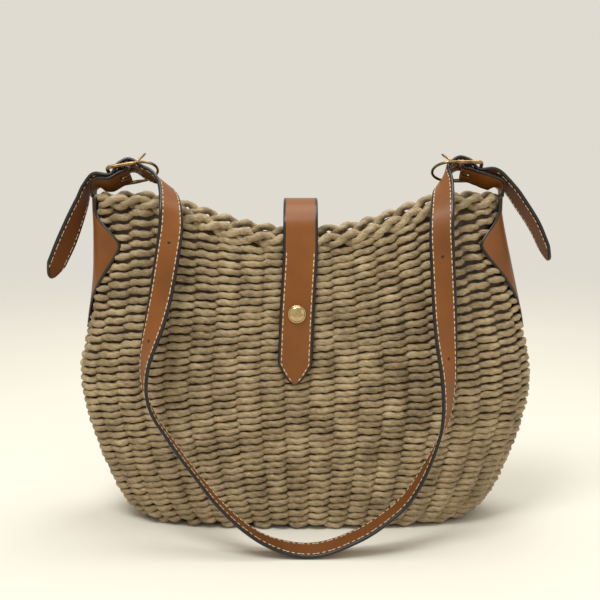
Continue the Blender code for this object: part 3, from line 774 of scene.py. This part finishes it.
def add_stitch(verts, faces, centre, along, across, normal, half_length=1.4, half_width=0.42):
    base = len(verts)
    rings = ((-0.98, 0.35), (-0.6, 0.9), (0, 1.0), (0.6, 0.9), (0.98, 0.35))
    for place, size in rings:
        for k in range(6):
            turn = 2 * math.pi * k / 6
            verts.append(
                centre + along * place * half_length
                + across * math.cos(turn) * half_width * size
                + normal * math.sin(turn) * half_width * 0.8 * size)
    for r in range(len(rings) - 1):
        for k in range(6):
            j = (k + 1) % 6
            low, high = base + r * 6, base + (r + 1) * 6
            faces.append((low + k, low + j, high + j, high + k))
    faces.append(tuple(base + k for k in reversed(range(6))))
    faces.append(tuple(base + (len(rings) - 1) * 6 + k for k in range(6)))


def stitch_rows(name, made, offsets, sides, thick, body, first=2, last=None):
    verts, faces = [], []
    keys = chord_keys([row[0] for row in made])
    reach = first
    stop = (last if last is not None else keys[-1] - 2)
    while reach < stop:
        i = min(bisect_right(keys, reach), len(made) - 1)
        centre, tangent, width, normal = made[i]
        for offset in offsets:
            for face in sides:
                spot = centre + width * offset + normal * face * (thick / 2 + STITCH_LIFT)
                add_stitch(verts, faces, spot, tangent, width, normal)
        reach += STITCH_PITCH
    return finish_mesh(name, verts, faces, None, [THREAD], body)


def nearest(made, goal):
    return min(range(len(made)), key=lambda i: (made[i][0] - goal).length)


# Adjustment holes, each at the strap's nearest place to its point; each is a black disc over the
# strap that paints the shade inside the hole.
STRAP_HOLES = ((-107, -48, 241), (-121, -63, 164), (110, -50, 230), (113, -65, 150))


def build_strap():
    made = frames(strap_stations(), FRAME_STEP)
    goals = [in_buckle(which, TAIL_CUT, 0, -3.6) for which in ("left", "right")]
    first, last = [nearest(made, goal) for goal in goals]
    keys = chord_keys([row[0] for row in made])

    def half_at(i):
        end = min(keys[i], keys[-1] - keys[i])
        if end > TAIL_POINT:
            return STRAP_HALF
        wide = STRAP_HALF - TAIL_TIP_HALF
        return TAIL_TIP_HALF + wide * (end / TAIL_POINT) ** POINT_POWER

    loop = made[first + SEAM:last - SEAM + 1]
    strap = ribbon(
        "strap_loop", loop, lambda i: half_at(i + first + SEAM), LEATHER, "handle",
        ["shoulder_strap"])
    for which in ("left", "right"):
        cut_slot(strap, f"slot_{which}", which, STRAP_SLOT, 8.5, 15)
    stitch_rows(
        "strap_stitches", loop, (-STITCH_SIDE, STITCH_SIDE), (1, -1), LEATHER, "handle",
        first=3)
    verts, faces = [], []
    # Each hole is a black disc standing proud of the strap: painted shade where the hole would
    # show.
    for hole in STRAP_HOLES:
        centre, tangent, width, normal = loop[nearest(loop, Vector(hole))]
        spot = centre + normal * LEATHER / 2
        ends = [spot - normal * 0.4, spot + normal * 0.12]
        add_tube(verts, faces, ends, lambda i, a: HOLE_RADIUS, around=14)
    finish_mesh("strap_hole_shade", verts, faces, None, [EDGE_PAINT_AND_HOLE_SHADE], "handle")
    tails = (("left", 0, first + SEAM, first), ("right", last - SEAM, len(made) - 1, last))
    for which, start, end, cut in tails:
        part = made[start:end + 1]
        tail = ribbon(
            f"strap_end_{which}", part, lambda i, s=start: half_at(i + s), LEATHER, None,
            [f"strap_tail_{which}"])
        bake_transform(tail)
        rest = made[:cut - 3] if which == "left" else made[cut + 4:]
        stitch_rows(
            f"end_stitches_{which}", rest, (-STITCH_SIDE, STITCH_SIDE), (1, -1), LEATHER,
            f"tail_{which}", first=10 if which == "left" else 2,
            last=None if which == "left" else keys[-1] - keys[cut + 4] - 10)


def cut_slot(item, name, which, span, height, depth):
    """Cuts the prong's slot with a hidden box that the handle carries."""
    first, last, width = span
    centre, inward, rear, up = buckle_axes(which)
    mesh = bmesh.new()
    bmesh.ops.create_cube(mesh, size=1.0)
    data = bpy.data.meshes.new(name)
    size = Matrix.Diagonal(((last - first) * MM, width * MM, depth * MM, 1))
    middle = centre + inward * (first + last) / 2 + up * height
    turn = Matrix((inward, rear * BUCKLES[which][1], up)).transposed().to_4x4()
    mesh.transform(Matrix.Translation(middle * MM) @ turn @ size)
    mesh.to_mesh(data)
    mesh.free()
    cutter = bpy.data.objects.new(name, data)
    bpy.context.scene.collection.objects.link(cutter)
    cutter.hide_render = True
    cutter.hide_viewport = True
    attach(cutter, "handle")
    step = item.modifiers.new("slot", "BOOLEAN")
    step.operation = "DIFFERENCE"
    step.solver = "EXACT"
    step.object = cutter


def place_across(i, columns, half):
    """Even places across a sheet, with one narrow painted column on each edge."""
    wrap = min(2.0, half / 3)
    if i in (0, columns - 1):
        return -half if i == 0 else half
    return (half - wrap) * (2 * (i - 1) / (columns - 3) - 1)


def patch_rows(columns):
    """Places along the wall and heights of the side tab's rows, bottom to top."""
    keys = [row[0] for row in TAB_OUTLINE]
    bottom, shoulder = keys[0], keys[-1]
    rows = []
    for height in range(bottom, shoulder + 1, 3):
        low = min(max(bisect_right(keys, height) - 1, 0), len(keys) - 2)
        part = (height - keys[low]) / (keys[low + 1] - keys[low])
        half = TAB_OUTLINE[low][1] * (1 - part) + TAB_OUTLINE[low + 1][1] * part
        rows.append([(place_across(i, columns, half), height) for i in range(columns)])
    radius = SWING_RADIUS + 2 * GAP
    for part in (0.33, 0.66, 1.0):
        row = []
        for i in range(columns):
            along = place_across(i, columns, TAB_HALF)
            top = SWING_Z - radius + bow(along, radius)
            row.append((along, shoulder + part * (top - shoulder)))
        rows.append(row)
    return rows


def build_side_tabs():
    count = 25
    rows = patch_rows(count)
    for which, side in (("left", -1), ("right", 1)):
        thick = TAB_LEATHER / 2
        surface = []
        for row in rows:
            line = []
            for along, height in row:
                part = smooth_step((height - 245) / 18)
                lift = TAB_LIFT_LOW + (TAB_LIFT_HIGH - TAB_LIFT_LOW) * part + thick
                point = side_point(side, along, min(height, TAB_CLAMP), lift)
                line.append(Vector((point.x, point.y, height)))
            surface.append(line)
        verts, faces, slots = [], [], []
        for sign in (1, -1):
            for r, line in enumerate(surface):
                for i, point in enumerate(line):
                    right = line[min(i + 1, count - 1)] - line[max(i - 1, 0)]
                    above = surface[min(r + 1, len(surface) - 1)][i] - surface[max(r - 1, 0)][i]
                    normal = right.cross(above).normalized() * side
                    if normal.x * side < 0:
                        normal = -normal
                    inset = 1 if i not in (0, count - 1) else 0.55
                    verts.append(point + normal * sign * thick * inset)
        total = len(surface) * count
        for r in range(len(surface) - 1):
            for i in range(count - 1):
                a = r * count + i
                faces.append((a, a + 1, a + count + 1, a + count))
                slots.append(1 if i in (0, count - 2) else 0)
                faces.append((total + a, total + a + count, total + a + count + 1, total + a + 1))
                slots.append(2)
        ring = list(range(count))
        ring += [r * count + count - 1 for r in range(1, len(surface))]
        ring += [(len(surface) - 1) * count + i for i in range(count - 2, -1, -1)]
        ring += [r * count for r in range(len(surface) - 2, 0, -1)]
        for a, b in zip(ring, ring[1:] + ring[:1]):
            faces.append((a, total + a, total + b, b))
            slots.append(1)
        finish_mesh(
            f"side_patch_{which}", verts, faces, slots, [LEATHER_TOP, EDGE_PAINT_AND_HOLE_SHADE, LEATHER_BACK_PAINTED_SHADE],
            "bag", [f"side_tab_{which}"])
        stitch_patch(which, side, surface)


def stitch_patch(which, side, surface):
    """Stitches a little inside the outline of the diamond."""
    verts, faces = [], []
    for end in (-1, 1):
        line = []
        for row in surface[1:-2]:
            edge = row[0] if end < 0 else row[-1]
            middle = row[len(row) // 2]
            reach = (middle - edge).length
            if reach < 5:
                continue
            part = 3.2 / reach
            line.append((edge.lerp(middle, part), (middle - edge).normalized()))
        if len(line) < 2:
            continue
        keys = chord_keys([spot for spot, _ in line])
        reach = 1.0
        while reach < keys[-1] - 1:
            i = min(bisect_right(keys, reach), len(line) - 1)
            part = (reach - keys[i - 1]) / max(keys[i] - keys[i - 1], 0.001)
            spot = line[i - 1][0].lerp(line[i][0], part)
            along = (line[i][0] - line[i - 1][0]).normalized()
            normal = along.cross(line[i][1]).normalized()
            if normal.dot(Vector((side * 0.6, math.copysign(1, spot.y), 0))) < 0:
                normal = -normal
            spot = spot + normal * (TAB_LEATHER / 2 + 0.15)
            add_stitch(verts, faces, spot, along, along.cross(normal), normal)
            reach += STITCH_PITCH
    finish_mesh(
        f"patch_stitches_{which}", verts, faces, None, [THREAD], "bag")


def build_chapes():
    for which in ("left", "right"):
        made = frames(chape_stations(which), 0.9)

        def shift_at(i, across):
            return bow(min(abs(across), TAB_HALF), SWING_RADIUS) * max(0.0, 1 - i / 8)

        item = ribbon(
            f"chape_{which}", made, lambda i: TAB_HALF, TAB_LEATHER, "handle",
            [f"tab_chape_{which}"], shift_at)
        cut_slot(item, f"chape_slot_{which}", which, CHAPE_SLOT, 0, 10.4)


def build_closure():
    across = Vector((1, 0, 0))
    route = TAB_BACK[:0:-1] + TAB_OVER + TAB_FRONT[1:]
    made = frames([(Vector(p), across) for p in route], FRAME_STEP)
    made = [(c, t, w, n * -1 if n.z < 0 and abs(c.y) < 20 else n) for c, t, w, n in made]
    keys = chord_keys([row[0] for row in made])

    def half_at(i):
        left = keys[-1] - keys[i]
        if left > TIP_LENGTH:
            return CLOSURE_HALF
        return TAB_TIP_HALF + (CLOSURE_HALF - TAB_TIP_HALF) * (left / TIP_LENGTH) ** POINT_POWER

    top = nearest(made, Vector(TAB_OVER[3]))
    parts = (
        ("closure_rear", 0, top, "bag", "tab_arch", (0, 34.5, 240), (0, 33.5, 246),
         ["tab_back", "tab_over"], "tab_over"),
        ("closure_front", top, len(made) - 1, "tab_arch", "tab_flap", (0, -33.5, 246),
         (0, -34.8, 240), ["tab_front"], "tab_front"),
    )
    for name, start, end, first, second, begin, stop, nodes, slot in parts:
        item = ribbon(
            name, made[start:end + 1], lambda i, s=start: half_at(i + s), CLOSURE_LEATHER,
            None, nodes)
        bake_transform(item)
    front = nearest(made, Vector(TAB_FRONT[1]))
    flap = made[front:]
    span = keys[-1] - keys[front]
    verts, faces = [], []
    local = chord_keys([row[0] for row in flap])
    for end in (-1, 1):
        reach = 1.0
        while reach < span - 5:
            i = min(bisect_right(local, reach), len(flap) - 1)
            centre, tangent, width, normal = flap[i]
            outward = normal if normal.y < 0 else -normal
            half = half_at(front + i) - 3.0
            ahead_half = half_at(min(front + i + 1, len(made) - 1)) - 3.0
            if half > 0.5:
                lean = (ahead_half - half) / FRAME_STEP
                along = (tangent + width * end * lean).normalized()
                lift = CLOSURE_LEATHER / 2 + STITCH_LIFT
                spot = centre + width * end * half + outward * lift
                add_stitch(verts, faces, spot, along, along.cross(outward), outward)
            reach += STITCH_PITCH
    finish_mesh("flap_stitches", verts, faces, None, [THREAD], "tab_flap")


# ---------------------------------------------------------------- metal

def turned(name, profile, materials, body, replaces=(), steps=48):
    x, height = SNAP
    wall = wall_point(math.pi * 1.5, height).y
    verts, faces = [], []
    turn = Matrix.Rotation(math.pi / 2 - SNAP_TILT, 4, "X")
    place = Matrix.Translation(Vector((x, wall, height)))
    for radius, out in profile:
        for k in range(steps):
            angle = 2 * math.pi * k / steps
            spot = Vector((radius * math.cos(angle), radius * math.sin(angle), out))
            verts.append(place @ turn @ spot)
    for r in range(len(profile) - 1):
        for k in range(steps):
            j = (k + 1) % steps
            faces.append((r * steps + k, r * steps + j, (r + 1) * steps + j, (r + 1) * steps + k))
    faces.append(tuple(range(steps)))
    faces.append(tuple((len(profile) - 1) * steps + k for k in range(steps)))
    return finish_mesh(name, verts, faces, None, materials, body, replaces)


def build_metal():
    face = SNAP_TAB + CLOSURE_LEATHER / 2 + 0.05
    profile = [
        (7.0, face), (7.3, face + 0.35), (7.2, face + 0.8), (6.7, face + 1.1), (6.5, face + 1.0)]
    for k in range(1, 10):
        turn = math.radians(10 * k)
        profile.append((6.3 * math.cos(turn), face + 1.0 + 2.2 * math.sin(turn)))
    profile.append((0.05, face + 3.2))
    turned("snap_button", profile, [GOLD], "tab_flap", ["snap_cap"])
    for which in ("left", "right"):
        outline = []
        corner = 3.0
        for k in range(7):
            turn = math.radians(90 + 15 * k)
            outline.append((
                -FRAME_REACH + corner + corner * math.cos(turn),
                FRAME_HALF - corner + corner * math.sin(turn), FRAME_RADIUS))
        half = outline[::-1]
        half += [(-6 + 3 * k, FRAME_HALF, FRAME_RADIUS) for k in range(5)]
        half.append((FRAME_REACH - 2.5, FRAME_HALF, 1.35))
        arc = []
        for k in range(0, 25):
            turn = math.radians(90 - 7.5 * k)
            arc.append((
                FRAME_REACH + BOW_REACH * math.cos(turn), FRAME_HALF * math.sin(turn),
                BOW_RADIUS + 0.15))
        ring = half + arc + [(u, -w, r) for u, w, r in half][::-1]
        points = [in_buckle(which, u, w, 0) for u, w, _ in ring]
        radii = [r for _, _, r in ring]
        verts, faces = [], []
        add_tube(verts, faces, points, lambda i, a: radii[i], around=14, cyclic=True)
        finish_mesh(
            f"buckle_{which}", verts, faces, None, [BRASS], f"buckle_{which}",
            [f"buckle_frame_{which}"])
        build_pin(which)
        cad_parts[f"buckle_bar_{which}"].data.materials[0] = STEEL


def build_pin(which):
    points = []
    leave = math.degrees(PRONG_ANGLE) + 90
    for k in range(25):
        turn = math.radians(390 - (390 - leave) * k / 24)
        points.append((PRONG_EYE * math.cos(turn), PRONG_EYE * math.sin(turn)))
    ahead = (math.cos(PRONG_ANGLE), math.sin(PRONG_ANGLE))
    start = points[-1]
    for k in range(1, 13):
        part = k / 12
        reach = PRONG_LENGTH * part
        rise = 1.2 * max(part - 0.6, 0) * 2
        points.append((
            start[0] + ahead[0] * reach - ahead[1] * rise,
            start[1] + ahead[1] * reach + ahead[0] * rise))
    world = [in_buckle(which, u, 0, h) for u, h in points]
    last = len(world) - 1
    verts, faces = [], []
    add_tube(
        verts, faces, world, lambda i, a: PRONG_RADIUS * (0.45 if i == last else 1.0), around=12)
    finish_mesh(
        f"pin_{which}", verts, faces, None, [BRASS], f"pin_{which}",
        [f"prong_{which}"])


def paint_frame():
    for name, kind in (
            ("lining", COTTON), ("snap_stud", BRASS), ("snap_socket", BRASS),
            ("snap_washer", BRASS)):
        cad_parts[name].data.materials[0] = kind


# ---------------------------------------------------------------- stage

CAMERA_PLACE = (-0.003, -0.95, 0.36)  # metres
CAMERA_PITCH = 10.413          # degrees below level
CAMERA_LENS = 69


def floor_paper():
    """Pale matt floor that fades into the backdrop far behind the object."""
    made = paint("floor_paper", (0.70, 0.675, 0.60), (0.73, 0.70, 0.62), 0.8, 3)
    tree = made.node_tree
    shader = tree.nodes["Principled BSDF"]
    place = tree.nodes.new("ShaderNodeTexCoord")
    reach = tree.nodes.new("ShaderNodeVectorMath")
    reach.operation = "LENGTH"
    tree.links.new(place.outputs["Object"], reach.inputs[0])
    fade = tree.nodes.new("ShaderNodeMapRange")
    fade.interpolation_type = "SMOOTHSTEP"
    fade.inputs["From Min"].default_value = 0.35
    fade.inputs["From Max"].default_value = 1.6
    tree.links.new(reach.outputs["Value"], fade.inputs["Value"])
    clear = tree.nodes.new("ShaderNodeBsdfTransparent")
    mix = tree.nodes.new("ShaderNodeMixShader")
    tree.links.new(fade.outputs["Result"], mix.inputs["Fac"])
    tree.links.new(shader.outputs["BSDF"], mix.inputs[1])
    tree.links.new(clear.outputs["BSDF"], mix.inputs[2])
    tree.links.new(mix.outputs["Shader"], tree.nodes["Material Output"].inputs["Surface"])
    return made


def build_stage():
    data = bpy.data.meshes.new("floor")
    data.from_pydata(
        [(-6, -4, 0), (6, -4, 0), (6, 8, 0), (-6, 8, 0)], [], [(0, 1, 2, 3)])
    floor = bpy.data.objects.new("floor", data)
    floor.data.materials.append(floor_paper())
    bpy.context.scene.collection.objects.link(floor)
    scene = bpy.context.scene
    world = bpy.data.worlds.new("studio")
    world.use_nodes = True
    world.node_tree.nodes["Background"].inputs[0].default_value = (0.90, 0.865, 0.775, 1)
    world.node_tree.nodes["Background"].inputs[1].default_value = 0.82
    scene.world = world
    scene.view_settings.view_transform = "Standard"
    for name, place, size, power in (
            ("key", (-0.5, -0.7, 1.8), 0.7, 20), ("top", (0.3, 0.3, 1.8), 1.0, 14),
            ("fill", (1.3, -1.1, 0.8), 1.0, 2)):
        lamp = bpy.data.lights.new(name, "AREA")
        lamp.energy = power
        lamp.size = size
        item = bpy.data.objects.new(name, lamp)
        item.location = place
        aim = Vector((0, 0, 0.12)) - Vector(place)
        item.rotation_euler = aim.to_track_quat("-Z", "Y").to_euler()
        scene.collection.objects.link(item)
    lens = bpy.data.cameras.new("camera")
    lens.lens = CAMERA_LENS
    lens.sensor_width = 36
    lens.clip_end = 50
    camera = bpy.data.objects.new("camera", lens)
    camera.location = CAMERA_PLACE
    camera.rotation_euler = (math.radians(90 - CAMERA_PITCH), 0, 0)
    scene.collection.objects.link(camera)
    scene.camera = camera


build_stage()
build_shade_sheet()
build_weave()
build_rim()
build_side_tabs()
build_chapes()
build_strap()
build_closure()
build_metal()
paint_frame()
